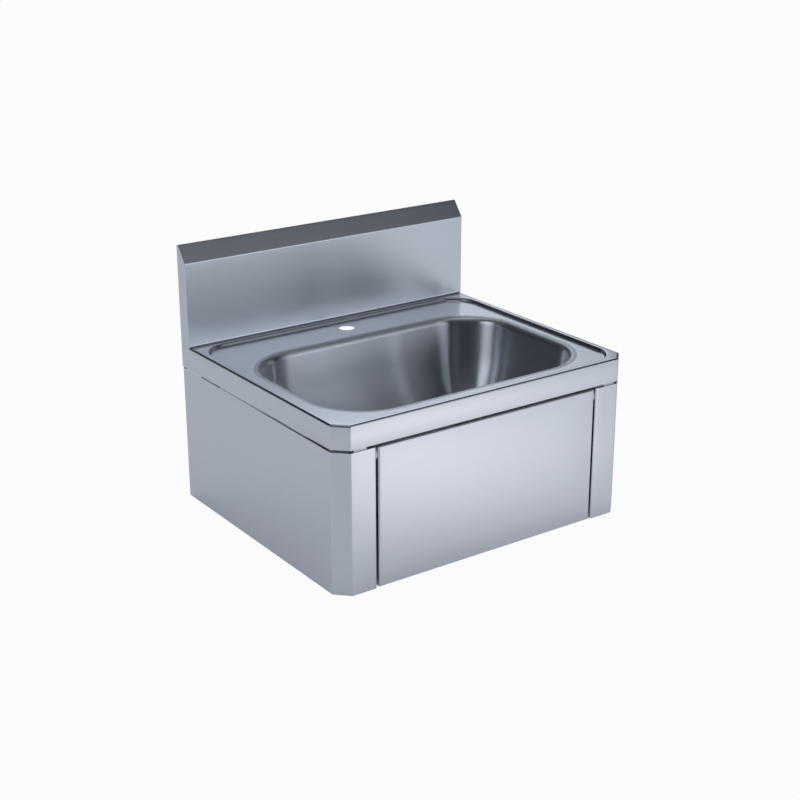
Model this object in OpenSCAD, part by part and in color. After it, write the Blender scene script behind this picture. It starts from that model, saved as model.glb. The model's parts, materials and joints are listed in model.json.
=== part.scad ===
// Wall-hung hand-wash basin in folded stainless steel sheet, worked by a knee panel.
// X runs along the wall, Y from the front to the wall, Z up.
// The origin lies on the wall, at the centre of the four fixing holes.

/* [Overall] */
// Width along the wall
width = 450; // [400:5:600]
// Depth from the wall to the front of the rim
depth = 380; // [360:5:460]
// Height from the lower edge of the casing to the top of the rim
body_h = 218; // [205:1:270]
// Thickness of the steel sheet
sheet = 1.2; // [0.8:0.1:1.5]
// Inside radius of a fold
fold_r = 1.6; // [0.8:0.1:2]
// How far each front corner is cut back at 45 degrees
corner_cut = 17.5; // [10:0.5:20]

/* [Rim and deck] */
// Height of the rim's skirt
rim_h = 31; // [26:0.5:40]
// Width of the raised border round the deck
border_w = 9; // [7:0.5:12]
// How far the deck lies below its border
recess_drop = 4; // [2:0.5:6]
// Width of the slope from the border down to the deck
slope_w = 2.5; // [2:0.5:5]
// Corner radius of the border's inner edge
recess_r = 38; // [25:1:60]
// Diameter of the tap hole
tap_hole_d = 22; // [18:0.5:30]
// Distance of the tap hole from the wall
tap_y = 57; // [52:1:62]

/* [Upstand] */
// Height of the upstand above the rim
upstand_h = 136; // [100:1:250]
// Thickness of the upstand from front to back
upstand_t = 18.5; // [16:0.5:22]
// Height of the sloping cap along the upstand's top
cap_h = 22; // [14:1:30]
// Height of the lip that folds down behind the cap
hook_h = 20; // [14:1:26]
// Radius of the dressed weld along the upstand's foot
foot_r = 3; // [2:0.5:5]

/* [Bowl] */
// Deck left between the side of the basin and the bowl
bowl_side = 25; // [22:0.5:60]
// Deck left between the front of the basin and the bowl
bowl_front = 26; // [22:0.5:40]
// Deck left between the wall and the bowl
bowl_back = 94; // [86:1:110]
// Clear height under the floor of the bowl
bowl_clear_h = 79; // [76:1:95]
// Radius of the lip where the deck turns down into the bowl
lip_r = 9; // [5:0.5:12]
// Lean of the bowl's walls from the vertical, in degrees
bowl_draft = 5; // [2:0.5:10]
// Radius of the upper sweep, from the wall towards the floor
bowl_wall_r = 130; // [60:1:150]
// Lean of the wall where the upper sweep meets the lower one
sweep_lean = 45; // [35:1:60]
// Radius of the lower sweep, into the floor
bowl_floor_r = 24; // [20:1:40]
// Corner radius of the flat floor of the bowl
floor_corner_r = 10; // [5:1:20]

/* [Casing] */
// Gap between the rim and the casing at the front
casing_gap = 3.4; // [2:0.2:6]
// Gap between the rim and the casing at the wall
casing_gap_wall = 1; // [0.6:0.2:2]
// Width of the casing's front from the side of the basin to the knee panel's gap
strip_w = 53.5; // [48:0.5:64]
// Width of the fold inwards along the casing's upper edge at the side
top_fold_w = 10; // [8:0.5:12]
// Depth of the fold beside the knee panel
return_d = 22; // [20:0.5:28]
// Width of the lip at the end of that fold
lip_w = 12; // [12:0.5:16]
// Width of the flanges against the wall
wall_flange_w = 24; // [20:1:32]
// Diameter of the wall fixing holes
fix_hole_d = 8; // [6:0.5:10]
// Height of the lower fixing holes above the casing's lower edge
fix_low = 30; // [20:1:36]
// Depth of the upper fixing holes below the casing's upper edge at the wall
fix_high = 32; // [24:1:60]

/* [Knee panel] */
// Gap on each side of the knee panel
panel_gap = 3; // [2:0.2:4]
// Depth of the panel's side folds
panel_side_d = 20; // [19:0.5:21]
// Depth of the panel's upper and lower folds
panel_edge_d = 12; // [8:0.5:14]
// Distance of the hinge below the top of the panel
hinge_drop = 11.6; // [10:0.2:14]
// Width of the stiffener's flat crown
crown_w = 36; // [30:1:42]
// Distance that the stiffener stands off the panel
crown_d = 7; // [6:0.5:8]

/* [Valve] */
// Distance of the valve to the left of the middle
valve_x = 75; // [66:1:90]
// Height of the valve above the casing's lower edge
valve_h = 34; // [32:1:38]
// Outside diameter of the valve body
valve_d = 40; // [34:1:42]
// Outside diameter of a half-inch pipe thread
pipe_d = 20.96; // [18:0.02:23]
// Diameter of the plunger's stem
stem_d = 8; // [6:0.5:9]
// Wire diameter of the return spring
wire_d = 1.4; // [1:0.1:1.6]

/* [Waste] */
// Diameter of the strainer's flange
strainer_d = 70; // [66:1:76]
// Diameter of the waste hole in the bowl
waste_hole_d = 52; // [50:1:56]
// Outside diameter of the waste's outlet thread
tail_d = 47.8; // [42:0.2:50]

/* [Hidden] */
$fn = 64;

// Overrun of every cut
over = 1;
// Grain to which worked-out places are rounded, and how near straight steps keep to an arc
grain = 0.01;
arc_tol = 0.04;
// Running clearance of a shaft, on the radius
run_gap = 0.05;
// Clearance of a part that passes through a hole, on the radius
pass_gap = 0.1;
// Gap at rest between parts that meet when they move, and end play
rest_gap = 0.3;

// Heights of the main levels, from the middle of the four fixing holes
fix_pitch_z = body_h - rim_h - casing_gap_wall - fix_low - fix_high;
base_z = -(fix_low + fix_pitch_z / 2);
deck_z = base_z + body_h;
rim_z = deck_z - rim_h;
recess_z = deck_z - recess_drop;
top_z = deck_z + upstand_h;
casing_z = rim_z - casing_gap;
casing_wall_z = rim_z - casing_gap_wall;
side_x = width / 2;
upstand_y = -upstand_t;

// Fold radii: to the outside, and to the middle of the sheet
fold_out = fold_r + sheet;
fold_mid = fold_r + sheet / 2;

// Border and recess of the deck
weld_w = 3;
recess_w = width - 2 * border_w;
recess_front = -depth + border_w;
recess_back = upstand_y - border_w;
recess_len = recess_back - recess_front;
recess_y = (recess_front + recess_back) / 2;
slope_angle = atan(recess_drop / slope_w);
slope_in = sheet / 2 * tan(slope_angle / 2);

// Seat of the waste in the bowl's floor
seat_drop = 3;
seat_slope = 2;
seat_margin = 1.5;
seat_r = strainer_d / 2 + seat_margin;
seat_out = seat_r + seat_slope + weld_w;

// Bowl, whose two sweeps are limited by what its depth and the waste's seat leave
sweep_gap = 1;
bowl_w = width - 2 * bowl_side;
bowl_len = depth - bowl_front - bowl_back;
bowl_y = -bowl_back - bowl_len / 2;
floor_z = base_z + bowl_clear_h;
wall_start_x = lip_r * cos(bowl_draft);
wall_start_z = recess_z - lip_r * (1 - sin(bowl_draft));
wall_foot_x = wall_start_x + (wall_start_z - floor_z) * tan(bowl_draft);
upper_turn = tan((sweep_lean - bowl_draft) / 2);
lower_turn = tan(45 - sweep_lean / 2);
sweep_run = bowl_wall_r * upper_turn + bowl_floor_r * lower_turn + sweep_gap;
sweep_in = sweep_run * (sin(sweep_lean) - cos(sweep_lean) * tan(bowl_draft)) + bowl_floor_r * lower_turn;
sweep_h = sweep_run * cos(sweep_lean) + bowl_wall_r * upper_turn + sweep_gap;
sweep_room = min(bowl_w, bowl_len) / 2 - seat_out - wall_foot_x - weld_w - sheet;
sweep_fit = min(1, sweep_room / sweep_in, (wall_start_z - floor_z) / sweep_h);
lip_mid = lip_r - sheet / 2;
wall_mid = bowl_wall_r * sweep_fit + sheet / 2;
floor_mid = bowl_floor_r * sweep_fit + sheet / 2;

// Corners of the path that the bowl's sheet follows: lip, sweep and floor, x inwards from the outline
wall_mid_x = wall_start_x - sheet / 2 / cos(bowl_draft);
lip_at_z = recess_z - sheet / 2;
lip_at_x = wall_mid_x + (wall_start_z - lip_at_z) * tan(bowl_draft);
floor_at_z = floor_z - sheet / 2;
sweep_at_z = floor_at_z + (wall_mid * upper_turn + floor_mid * lower_turn + sweep_gap) * cos(sweep_lean);
sweep_at_x = wall_mid_x + (wall_start_z - sweep_at_z) * tan(bowl_draft);
floor_at_x = sweep_at_x + (sweep_at_z - floor_at_z) * tan(sweep_lean);
floor_in = snap(floor_at_x + floor_mid * lower_turn + weld_w);
bowl_r = floor_in + floor_corner_r;

// Knee panel and its hinge
strip_x = side_x - strip_w;
panel_x = strip_x - panel_gap;
panel_back = -depth + sheet;
lip_y = -depth + return_d;
hinge_y = -depth + panel_side_d / 2;
hinge_z = casing_z - hinge_drop;

// Hinge bolts, bushes and nuts
pin_d = 8;
pin_head_d = 13;
pin_head_t = 3.5;
pin_thread_d = 6;
bush_wall = 1.5;
bush_flange_d = 15;
bush_inside = 1;
hinge_nut_w = 10;
hinge_nut_t = 5;
thread_tail = 1.5;
bush_d = pin_d + 2 * bush_wall;
bush_end = panel_x - sheet - bush_inside;
head_x = bush_end - rest_gap;

// Rest stop: an ear of the panel lies behind a rubber buffer on the casing's lip
stop_low = 70;
stop_h = 20;
buffer_t = 3;
buffer_w = 8;
buffer_h = 16;
buffer_in = 2.5;
ear_y = lip_y + buffer_t + rest_gap;
ear_x = strip_x + buffer_in + buffer_w;
stop_z = base_z + stop_low;

// Rail that carries the valve
rail_t = 1.5;
rail_low = 12;
rail_h = 44;
rail_fold = 2.5;
rail_leg_gap = 0.75;
rail_d = 26;
rail_leg_x = strip_x + rail_leg_gap + rail_t / 2;
rail_y = lip_y + rail_d;
rail_end_x = strip_x + lip_w;
web_front = rail_y - rail_t / 2;
web_back = rail_y + rail_t / 2;

// Screws and nuts of the rail
screw_d = 4;
screw_head_d = 7.5;
screw_head_t = 2.4;
screw_nut_w = 7;
screw_nut_t = 3.2;
screw_in = 8;
screw_low = 8;
screw_pitch = 28;
screw_z = [base_z + rail_low + screw_low, base_z + rail_low + screw_low + screw_pitch];

// Valve
valve_z = base_z + valve_h;
bonnet_d = 26;
bonnet_front = 10;
bonnet_back = 7;
locknut_w = 34;
locknut_t = 6;
valve_len = 66;
collar_d = 44;
collar_t = 6;
port_at = 34;
port_d = 27;
port_reach = 29;
outlet_neck_d = 26;
outlet_neck_len = 6;
nipple_w = 24;
nipple_hex_t = 7;
nipple_len = 13;
nipple_bore = 14;
nipple_cut = 1.2;
chamber_d = 14;
piston_gap = 0.4;
piston_t = 8;
cap_d = 22;
cap_t = 5;
cap_dome_r = 40;
cap_wall = 2;
bonnet_y = web_front - bonnet_front;
piston_y = web_back + bonnet_back + rest_gap;
port_y = web_back + port_at;
valve_end = web_back + valve_len;
neck_end = valve_end + outlet_neck_len;

// Striker on the panel, and the plunger that it meets
striker_d = 16;
striker_base_t = 2.5;
striker_r = 16;
striker_rise = striker_r - sqrt(striker_r * striker_r - striker_d * striker_d / 4);
crown_y = panel_back + crown_d;
striker_y = crown_y + striker_base_t + striker_rise;
cap_front = striker_y + rest_gap;
cap_back = cap_front + cap_t;

// Return spring
spring_d = 14;
spring_turns = 4;
spring_steps = 8;
spring_sides = 6;
spring_free = bonnet_y - cap_back - 2 * rest_gap;
spring_pitch = (spring_free - wire_d) / spring_turns;
spring_last = spring_turns * spring_steps;
spring_start = cap_back + rest_gap + wire_d / 2;

// Waste
seal_t = 1.5;
strainer_t = 1;
strainer_fold = 1.5;
strainer_cup_d = 44;
strainer_cup_h = 9;
strainer_hole_d = 6;
// Holes in each ring of the strainer, with the ring's share of the cup's radius
strainer_hole_shares = [[6, 0.45], [12, 0.78]];
waste_seal_t = 2.5;
waste_rim_d = 68;
waste_rim_t = 5;
cup_d = 60;
cup_h = 22;
cone_h = 6;
tail_h = 22;
waste_wall = 3;
boss_d = 14;
boss_h = 10;
boss_gap = 1;
rib_t = 3.5;
rib_count = 3;
waste_screw_d = 6;
waste_head_d = 13;
waste_head_t = 2.5;
slot_w = 1.6;
slot_d = 1.2;
seat_z = floor_z - seat_drop;
flange_z = seat_z + seal_t + strainer_t;
cup_floor_z = flange_z - strainer_cup_h;
boss_z = cup_floor_z - strainer_t - boss_gap;
waste_z = seat_z - sheet - waste_seal_t;
cup_z = waste_z - waste_rim_t - cup_h;
tail_z = cup_z - cone_h - tail_h;

// Wall bracket
bracket_t = 2;
bracket_len = 300;
bracket_hole_d = 6.5;
bracket_pitch = 240;
bracket_flat_h = 30;
bracket_step_h = 8;
bracket_lip_h = 20;
hook_play = 0.3;
hook_cover = 9;
cap_flat = 4.5;
bracket_z = top_z - hook_h + hook_cover - bracket_lip_h - bracket_step_h - bracket_flat_h;

// Plates that hang the casing from the rim
hanger_t = 1.5;
hanger_w = 46;
hanger_lap = 24;
hanger_back = 50;
hanger_front = 70;
hanger_y = [-hanger_back - hanger_w, -depth + hanger_front];
slot_gap = 1;
strip_hanger_w = 18;
strip_hanger_in = 13;

steel = "lightsteelblue";
dark_steel = "slategray";
brass = "burlywood";
rubber = "dimgray";
nylon = "whitesmoke";

// A unit vector at an angle, and the heading and turn of a path at its point i
function dir(a) = [cos(a), sin(a)];
function heading(p, i) = atan2(p[i + 1].y - p[i].y, p[i + 1].x - p[i].x);
function wrap(a) = a > 180 ? a - 360 : a < -180 ? a + 360 : a;
function turn(p, i) = wrap(heading(p, i) - heading(p, i - 1));
function same(r, p) = [for (q = p) r];

// A length rounded to the grain of the drawing
function snap(x) = round(x / grain) * grain;

// Points along an arc of radius r round c, from angle a through a turn t
function arc(c, r, a, t, n) = [for (k = [0 : n]) c + r * dir(a + t * k / n)];

// Straight steps that follow an arc of radius r through a turn t within the arc's tolerance
function arc_steps(r, t) = ceil(abs(t) / (2 * acos(1 - arc_tol / r)));

// One edge of a folded sheet, at distance d to the left of its path p, whose folds have radii r
function fold_edge(p, d, r) = let (last = len(p) - 1) [
    p[0] + d * dir(heading(p, 0) + 90),
    for (i = [1 : last - 1]) let (t = turn(p, i), s = sign(t), h = heading(p, i - 1))
        each arc(p[i] - r[i] * tan(abs(t) / 2) * dir(h) + s * r[i] * dir(h + 90),
            r[i] - s * d, h - s * 90, t, arc_steps(r[i], t)),
    p[last] + d * dir(heading(p, last - 1) + 90)];

// Section of folded sheet: p runs along the middle of the sheet, r holds each fold's middle radius
module folded(p, t, r) {
    right = fold_edge(p, -t / 2, r);
    polygon([each fold_edge(p, t / 2, r), for (k = [len(right) - 1 : -1 : 0]) right[k]]);
}

// A section carried round a rectangle with round corners: its x runs inwards from the outline
module carried_round(w, l, r) {
    for (k = [0 : 3]) {
        run = (k % 2 == 0 ? w : l) - 2 * r;
        out = (k % 2 == 0 ? l : w) / 2;
        rotate(90 * k) {
            translate([-run / 2, -out, 0]) rotate([90, 0, 90]) linear_extrude(run) children();
            translate([run / 2, r - out, 0]) rotate(-90)
                rotate_extrude(angle = 90) translate([r, 0]) mirror([1, 0]) children();
        }
    }
}

// A rectangle with round corners, centred
module round_rect(w, l, r) {
    square([w, l - 2 * r], center = true);
    square([w - 2 * r, l], center = true);
    for (x = [-1, 1], y = [-1, 1]) translate([x * (w / 2 - r), y * (l / 2 - r)]) circle(r);
}

// A rectangle from the origin, with its far upper corner rounded
module eased(w, h, r) {
    difference() {
        square([w, h]);
        translate([w - r, h - r]) difference() {
            square(r + over);
            circle(r);
        }
    }
}

// A round pad of diameter d and height t on Z, its top a dome of radius r
module domed(d, t, r) {
    half = asin(d / 2 / r);
    rotate_extrude()
        polygon([[0, 0], [d / 2, 0], each arc([0, t - r], r, 90 - half, half, arc_steps(r, half))]);
}

// Solids along the axes, placed by where they start and end
module rod_x(d, x0, x1) {
    translate([x0, 0, 0]) rotate([0, 90, 0]) cylinder(d = d, h = x1 - x0);
}
module rod_y(d, y0, y1) {
    translate([0, y0, 0]) rotate([-90, 0, 0]) cylinder(d = d, h = y1 - y0);
}
module rod_z(d, z0, z1) {
    translate([0, 0, z0]) cylinder(d = d, h = z1 - z0);
}
module hex(w, h) {
    cylinder(d = w / cos(30), h = h, $fn = 6);
}
module extrude_x(x0, x1) {
    translate([x0, 0, 0]) rotate([90, 0, 90]) linear_extrude(x1 - x0) children();
}
module extrude_z(z0, z1) {
    translate([0, 0, z0]) linear_extrude(z1 - z0) children();
}
module block(low, high) {
    translate(low) cube(high - low);
}
module mirrored(on) {
    mirror([on ? 1 : 0, 0, 0]) children();
}

// The rim as a solid block below z, drawn in by s all round, its upper edges rounded to r
module rim_block(s, z, h, r) {
    reach = width + depth;
    corner_at = (side_x + depth - corner_cut) / sqrt(2);
    sides = [[0, side_x], [-45, corner_at], [-90, depth], [-135, corner_at], [180, side_x]];
    intersection() {
        block([-reach, -reach, z - h], [reach, -s, z]);
        intersection_for (side = sides)
            rotate(side[0]) translate([-reach, 0, z - h]) rotate([90, 0, 0])
                translate([0, 0, -reach]) linear_extrude(2 * reach) eased(reach + side[1] - s, h, r);
    }
}

module deck() {
    z0 = deck_z - sheet / 2;
    z1 = recess_z - sheet / 2;
    slope = [[-weld_w, z0], [-slope_in, z0], [slope_w - slope_in, z1], [slope_w + weld_w, z1]];
    inset = 2 * (slope_w + weld_w);
    color(steel) {
        for (m = [false, true]) mirrored(m)
            block([side_x - sheet, upstand_y, deck_z - fold_out], [side_x, 0, deck_z]);
        difference() {
            rim_block(0, deck_z, rim_h, fold_out);
            rim_block(sheet, deck_z - sheet, rim_h, fold_r);
            block([2 * fold_out - side_x, upstand_y + sheet, rim_z - over], [side_x - 2 * fold_out, over, deck_z + over]);
            translate([0, recess_y, deck_z - sheet - over]) linear_extrude(sheet + 2 * over)
                round_rect(recess_w + 2 * weld_w, recess_len + 2 * weld_w, recess_r + weld_w);
        }
        translate([0, recess_y, 0]) carried_round(recess_w, recess_len, recess_r)
            folded(slope, sheet, same(fold_mid, slope));
        difference() {
            translate([0, recess_y, recess_z - sheet]) linear_extrude(sheet)
                round_rect(recess_w - inset, recess_len - inset, recess_r - inset / 2);
            translate([0, bowl_y, recess_z - sheet - over]) linear_extrude(sheet + 2 * over)
                round_rect(bowl_w + 2 * weld_w, bowl_len + 2 * weld_w, bowl_r + weld_w);
            translate([0, -tap_y, 0]) rod_z(tap_hole_d, recess_z - sheet - over, recess_z + over);
        }
    }
}

module upstand() {
    front = upstand_y + sheet / 2;
    cap_angle = atan(cap_h / (upstand_t - cap_flat));
    front_z = top_z - cap_h - sheet / 2 * tan((90 - cap_angle) / 2);
    flat_y = -cap_flat + sheet / 2 * tan(cap_angle / 2);
    section = [[front, deck_z], [front, front_z], [flat_y, top_z - sheet / 2],
        [-sheet / 2, top_z - sheet / 2], [-sheet / 2, top_z - hook_h]];
    weld = [[front, deck_z], [upstand_y - foot_r, deck_z],
        each arc([upstand_y - foot_r, deck_z + foot_r], foot_r, -90, 90, arc_steps(foot_r, 90)),
        [front, deck_z + foot_r]];
    color(steel) {
        extrude_x(-side_x, side_x) folded(section, sheet, same(fold_mid, section));
        extrude_x(fold_out - side_x, side_x - fold_out) polygon(weld);
        for (m = [false, true]) mirrored(m) extrude_x(side_x - sheet, side_x)
            polygon([[0, deck_z], [front, deck_z], [front, front_z], [flat_y, top_z - sheet / 2],
                [-fold_out, top_z - sheet / 2], [0, top_z - fold_out]]);
    }
}

// The bowl: a drawn sheet that turns down from the deck, falls and sweeps into a flat floor
module bowl() {
    z1 = floor_at_z;
    wall = [[-weld_w, lip_at_z], [lip_at_x, lip_at_z], [sweep_at_x, sweep_at_z],
        [floor_at_x, floor_at_z], [floor_in, floor_at_z]];
    angle = atan(seat_drop / seat_slope);
    in = sheet / 2 * tan(angle / 2);
    seat = [[seat_out, z1], [seat_r + seat_slope + in, z1], [seat_r + in, seat_z - sheet / 2],
        [waste_hole_d / 2, seat_z - sheet / 2]];
    color(steel) translate([0, bowl_y, 0]) {
        carried_round(bowl_w, bowl_len, bowl_r) folded(wall, sheet, [0, lip_mid, wall_mid, floor_mid, 0]);
        difference() {
            translate([0, 0, floor_z - sheet]) linear_extrude(sheet)
                round_rect(bowl_w - 2 * floor_in, bowl_len - 2 * floor_in, floor_corner_r);
            rod_z(2 * seat_out, floor_z - sheet - over, floor_z + over);
        }
        rotate_extrude() folded(seat, sheet, same(fold_mid, seat));
    }
}

// One half of the casing: wall flange, side, cut-back corner, front strip, return and lip
module casing() {
    skew = sheet / 2 * tan(22.5);
    mid = sheet / 2;
    plan = [[side_x - wall_flange_w, -mid], [side_x - mid, -mid],
        [side_x - mid, -depth + corner_cut + skew], [side_x - corner_cut - skew, -depth + mid],
        [strip_x + mid, -depth + mid], [strip_x + mid, lip_y - mid], [strip_x + lip_w, lip_y - mid]];
    fall = (casing_wall_z - casing_z) / depth;
    ends = [-wall_flange_w, -depth + corner_cut + top_fold_w];
    under = [for (y = ends) [y, casing_wall_z - sheet + y * fall]];
    difference() {
        union() {
            extrude_z(base_z, rim_z) folded(plan, sheet, same(fold_mid, plan));
            extrude_x(side_x - top_fold_w, side_x - mid) polygon([[ends[0], rim_z], each under, [ends[1], rim_z]]);
        }
        for (y = hanger_y)
            block([strip_x, y - slot_gap, casing_z - hanger_lap], [side_x - sheet, y + hanger_w + slot_gap, rim_z + over]);
        extrude_x(strip_x - over, side_x + over)
            polygon([[0, casing_wall_z], [-depth, casing_z], [-depth - over, casing_z],
                [-depth - over, rim_z + over], [over, rim_z + over], [over, casing_wall_z]]);
        for (z = [base_z + fix_low, base_z + fix_low + fix_pitch_z])
            translate([side_x - wall_flange_w / 2, 0, z]) rod_y(fix_hole_d, -sheet - over, over);
        translate([0, hinge_y, hinge_z])
            rod_x(pin_thread_d + 2 * pass_gap, strip_x - over, strip_x + sheet + over);
        for (z = screw_z) translate([strip_x + screw_in, 0, z])
            rod_y(screw_d + 2 * pass_gap, lip_y - sheet - over, lip_y + over);
    }
}

module left_casing() {
    color(steel) mirrored(true) casing();
}

module right_casing() {
    color(steel) casing();
}

// Plates welded inside the rim's skirt, which carry the side and the front strip of one casing
module hangers() {
    low = casing_z - hanger_lap;
    high = rim_z + hanger_lap;
    inner = side_x - sheet;
    for (y = hanger_y)
        block([inner - hanger_t, y, low], [inner, y + hanger_w, high]);
    x = strip_x + strip_hanger_in;
    block([x, panel_back, low], [x + strip_hanger_w, panel_back + hanger_t, high]);
}

module left_hangers() {
    color(dark_steel) mirrored(true) hangers();
}

module right_hangers() {
    color(dark_steel) hangers();
}

module wall_bracket() {
    off = sheet + hook_play + bracket_t / 2;
    mid = bracket_t / 2;
    step_z = bracket_z + bracket_flat_h;
    lip_z = step_z + bracket_step_h;
    section = [[-mid, bracket_z], [-mid, step_z], [-off, lip_z], [-off, lip_z + bracket_lip_h]];
    color(dark_steel) difference() {
        extrude_x(-bracket_len / 2, bracket_len / 2) folded(section, bracket_t, same(fold_out, section));
        for (s = [-1, 1]) translate([s * bracket_pitch / 2, 0, bracket_z + bracket_flat_h / 2])
            rod_y(bracket_hole_d, -bracket_t - over, over);
    }
}

// Hat-shaped rail between the two casings' lips
module valve_rail() {
    flange_y = lip_y + rail_t / 2;
    plan = [[-rail_end_x, flange_y], [-rail_leg_x, flange_y], [-rail_leg_x, rail_y],
        [rail_leg_x, rail_y], [rail_leg_x, flange_y], [rail_end_x, flange_y]];
    color(dark_steel) difference() {
        extrude_z(base_z + rail_low, base_z + rail_low + rail_h)
            folded(plan, rail_t, same(rail_fold, plan));
        translate([-valve_x, 0, valve_z]) rod_y(bonnet_d + 2 * pass_gap, web_front - over, web_back + over);
        for (s = [-1, 1], z = screw_z) translate([s * (strip_x + screw_in), 0, z])
            rod_y(screw_d + 2 * pass_gap, lip_y - over, lip_y + rail_t + over);
    }
}

module at_rail_screws() {
    for (s = [-1, 1], z = screw_z) translate([s * (strip_x + screw_in), lip_y, z]) children();
}

module rail_screws() {
    tip = -sheet - screw_nut_t - thread_tail;
    color("silver") at_rail_screws() {
        rod_y(screw_d, tip, rail_t + over / 2);
        rod_y(screw_head_d, rail_t, rail_t + screw_head_t);
    }
}

module rail_nuts() {
    color("silver") at_rail_screws() difference() {
        translate([0, -sheet, 0]) rotate([90, 0, 0]) hex(screw_nut_w, screw_nut_t);
        rod_y(screw_d + 2 * run_gap, -sheet - screw_nut_t - over, over);
    }
}

// Shoulder bolt: its shoulder carries the bush, and its thread is clamped in the casing's return
module hinge_pin() {
    translate([0, hinge_y, hinge_z]) {
        rod_x(pin_head_d, head_x - pin_head_t, head_x);
        rod_x(pin_d, head_x - pin_head_t / 2, strip_x);
        rod_x(pin_thread_d, strip_x - pin_head_t / 2, strip_x + sheet + hinge_nut_t + thread_tail);
    }
}

module left_hinge_pin() {
    color("silver") mirrored(true) hinge_pin();
}

module right_hinge_pin() {
    color("silver") hinge_pin();
}

module hinge_nuts() {
    color("silver") for (m = [false, true]) mirrored(m) translate([0, hinge_y, hinge_z])
        difference() {
            translate([strip_x + sheet, 0, 0]) rotate([0, 90, 0]) hex(hinge_nut_w, hinge_nut_t);
            rod_x(pin_thread_d + 2 * run_gap, strip_x, strip_x + sheet + hinge_nut_t + over);
        }
}

// Flanged bush in the panel's side fold: the flange fills the gap beside the panel
module hinge_bush() {
    translate([0, hinge_y, hinge_z]) difference() {
        union() {
            rod_x(bush_d, bush_end, panel_x + rest_gap);
            rod_x(bush_flange_d, panel_x, strip_x - rest_gap);
        }
        rod_x(pin_d + 2 * run_gap, bush_end - over, strip_x);
    }
}

module left_hinge_bush() {
    color(nylon) mirrored(true) hinge_bush();
}

module right_hinge_bush() {
    color(nylon) hinge_bush();
}

module buffer() {
    z = stop_z + (stop_h - buffer_h) / 2;
    block([strip_x + buffer_in, lip_y, z], [strip_x + buffer_in + buffer_w, lip_y + buffer_t, z + buffer_h]);
}

module left_buffer() {
    color(rubber) mirrored(true) buffer();
}

module right_buffer() {
    color(rubber) buffer();
}

// A block behind the panel's face, drawn in by s, with the four edges of its face rounded to r
module panel_block(s, d, r) {
    x = panel_x - s;
    low = base_z + s;
    high = casing_z - s;
    front = -depth + s;
    intersection() {
        extrude_z(low, high) translate([0, front]) mirror([0, 1]) translate([0, -d])
            for (m = [0, 1]) mirror([m, 0]) eased(x, d, r);
        extrude_x(-x, x) translate([front + d, (low + high) / 2]) mirror([1, 0])
            for (m = [0, 1]) mirror([0, m]) eased(d, (high - low) / 2, r);
    }
}

module knee_panel() {
    fold_x = panel_x - sheet;
    side_end = -depth + panel_side_d;
    ear = [[panel_x - sheet / 2, side_end - over], [panel_x - sheet / 2, ear_y + sheet / 2],
        [ear_x, ear_y + sheet / 2]];
    color(steel) difference() {
        union() {
            difference() {
                panel_block(0, panel_side_d, fold_out);
                panel_block(sheet, panel_side_d, fold_r);
                block([-fold_x, -depth + panel_edge_d, base_z - over], [fold_x, over, casing_z + over]);
            }
            for (m = [false, true]) mirrored(m)
                extrude_z(stop_z, stop_z + stop_h) folded(ear, sheet, same(fold_mid, ear));
        }
        translate([0, hinge_y, hinge_z]) rod_x(bush_d, -panel_x - over, panel_x + over);
    }
}

// Hat-shaped stiffener along the back of the panel
module panel_stiffener() {
    flange = panel_back + sheet / 2;
    crown = crown_y - sheet / 2;
    foot = crown_w / 2 + 3 * fold_out;
    half = crown_w / 2 - sheet / 2;
    section = [[flange, -foot], [flange, -half], [crown, -half], [crown, half], [flange, half], [flange, foot]];
    end = panel_x - sheet - 2 * fold_out;
    color(dark_steel) translate([0, 0, valve_z])
        extrude_x(-end, end) folded(section, sheet, same(fold_mid, section));
}

module striker_pad() {
    color(rubber) translate([-valve_x, crown_y, valve_z]) rotate([-90, 0, 0])
        domed(striker_d, striker_base_t + striker_rise, striker_r);
}

module at_valve() {
    translate([-valve_x, 0, valve_z]) children();
}

module valve_body() {
    color(brass) at_valve() difference() {
        union() {
            rod_y(collar_d, web_back, web_back + collar_t);
            rod_y(valve_d, web_back + collar_t / 2, valve_end);
            rod_y(outlet_neck_d, valve_end - collar_t, neck_end);
            translate([0, port_y, 0]) rod_x(port_d, -port_reach, port_reach);
        }
        rod_y(bonnet_d, web_back - over, web_back + bonnet_back);
        rod_y(chamber_d, web_back, neck_end + over);
        translate([0, port_y, 0]) rod_x(nipple_bore, -port_reach - over, port_reach + over);
    }
}

// Threaded sleeve that guides the stem and clamps the valve to the rail
module valve_bonnet() {
    color(brass) at_valve() difference() {
        rod_y(bonnet_d, bonnet_y, web_back + bonnet_back);
        rod_y(stem_d + 2 * run_gap, bonnet_y - over, web_back + bonnet_back + over);
    }
}

module valve_locknut() {
    color(brass) at_valve() difference() {
        translate([0, web_front, 0]) rotate([90, 0, 0]) hex(locknut_w, locknut_t);
        rod_y(bonnet_d + 2 * run_gap, web_front - locknut_t - over, web_front + over);
    }
}

module valve_plunger() {
    color("silver") at_valve() {
        rod_y(stem_d, cap_front + cap_wall, piston_y + piston_t / 2);
        rod_y(chamber_d - 2 * piston_gap, piston_y, piston_y + piston_t);
    }
}

module push_cap() {
    color(nylon) at_valve() difference() {
        translate([0, cap_back, 0]) rotate([90, 0, 0]) domed(cap_d, cap_t, cap_dome_r);
        rod_y(stem_d, cap_front + cap_wall, cap_back + over);
    }
}

// Point k along the spring's helix, and the ring of the wire's section there
function spring_at(k) = let (a = 360 * k / spring_steps)
    [spring_d / 2 * cos(a), spring_start + spring_pitch * k / spring_steps, spring_d / 2 * sin(a)];
function spring_ring(k) = let (a = 360 * k / spring_steps)
    [for (j = [0 : spring_sides - 1]) let (b = 360 * j / spring_sides)
        spring_at(k) + wire_d / 2 * [cos(b) * cos(a), sin(b), cos(b) * sin(a)]];

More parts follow.
